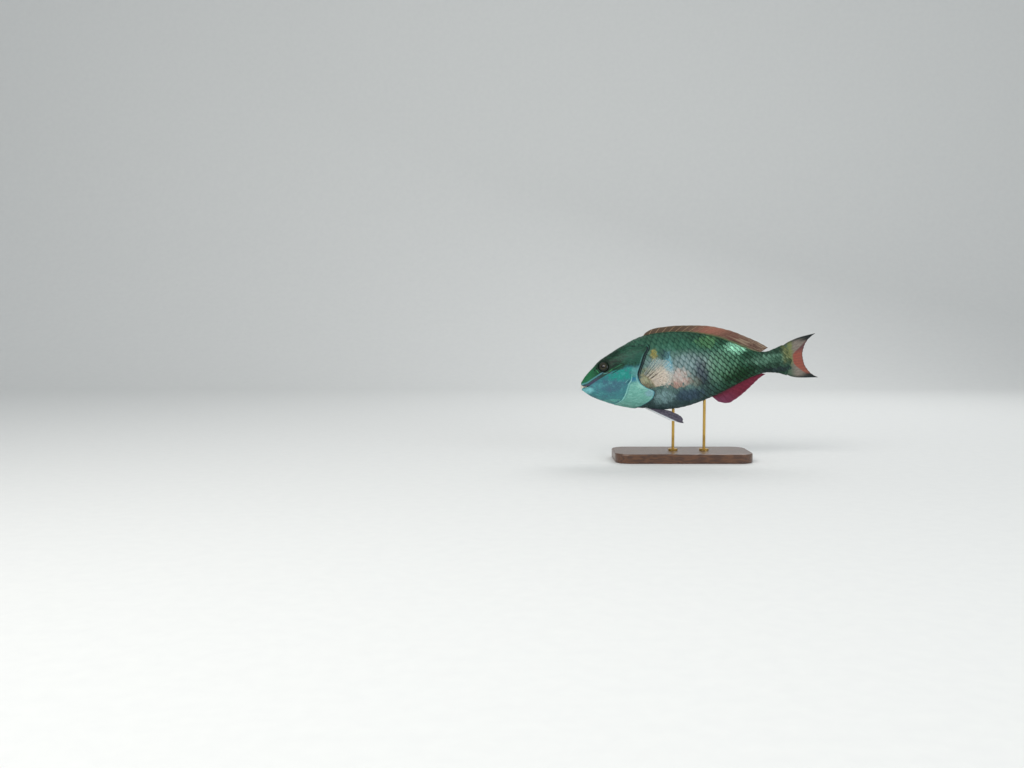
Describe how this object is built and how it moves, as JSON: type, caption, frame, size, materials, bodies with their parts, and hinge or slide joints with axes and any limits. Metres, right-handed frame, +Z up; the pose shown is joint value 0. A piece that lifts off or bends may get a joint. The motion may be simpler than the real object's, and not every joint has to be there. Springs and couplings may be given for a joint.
{
  "type": "model fish",
  "caption": "Life-size parrotfish model, swimming with its nose slightly down and its breast fins raised, held by thin brass rods over a flat wooden base.",
  "frame": {"origin": "centre of the bounding box seen from above, on the underside of the base", "axes": "-X along the swimming direction, towards the snout; -Y to the fish's left side; +Z up"},
  "size_m": [0.4009, 0.1148, 0.2279],
  "materials": {
    "head_skin": "satin painted skin, dark green above and teal on the cheek",
    "gill_skin": "satin painted skin, light teal",
    "flank_skin": "satin painted scales, green and silver-blue",
    "stalk_skin": "satin painted scales, dark green",
    "orange_fin": "satin, rusty orange",
    "crimson_fin": "satin, crimson",
    "tail_fin": "satin, mauve with an orange crescent",
    "pale_fin": "satin, pale and faintly pink",
    "mauve_fin": "satin, grey-mauve",
    "eye": "glossy",
    "beak": "glossy, off-white",
    "wood": "satin varnish",
    "brass": "polished"
  },
  "bodies": {
    "root": {"head": "head_skin", "trunk": "flank_skin", "tail_stalk": "stalk_skin", "beak_upper": "beak", "beak_lower": "beak", "dorsal_fin": "orange_fin", "anal_fin": "crimson_fin", "tail_fin": "tail_fin", "gill_cover_left": "gill_skin", "eye_left": "eye", "pectoral_fin_left": "pale_fin", "pelvic_fin_left": "mauve_fin", "gill_cover_right": "gill_skin", "eye_right": "eye", "pectoral_fin_right": "pale_fin", "pelvic_fin_right": "mauve_fin", "stand_base": "wood", "stand_rod_front": "brass", "stand_rod_rear": "brass"}
  },
  "joints": []
}
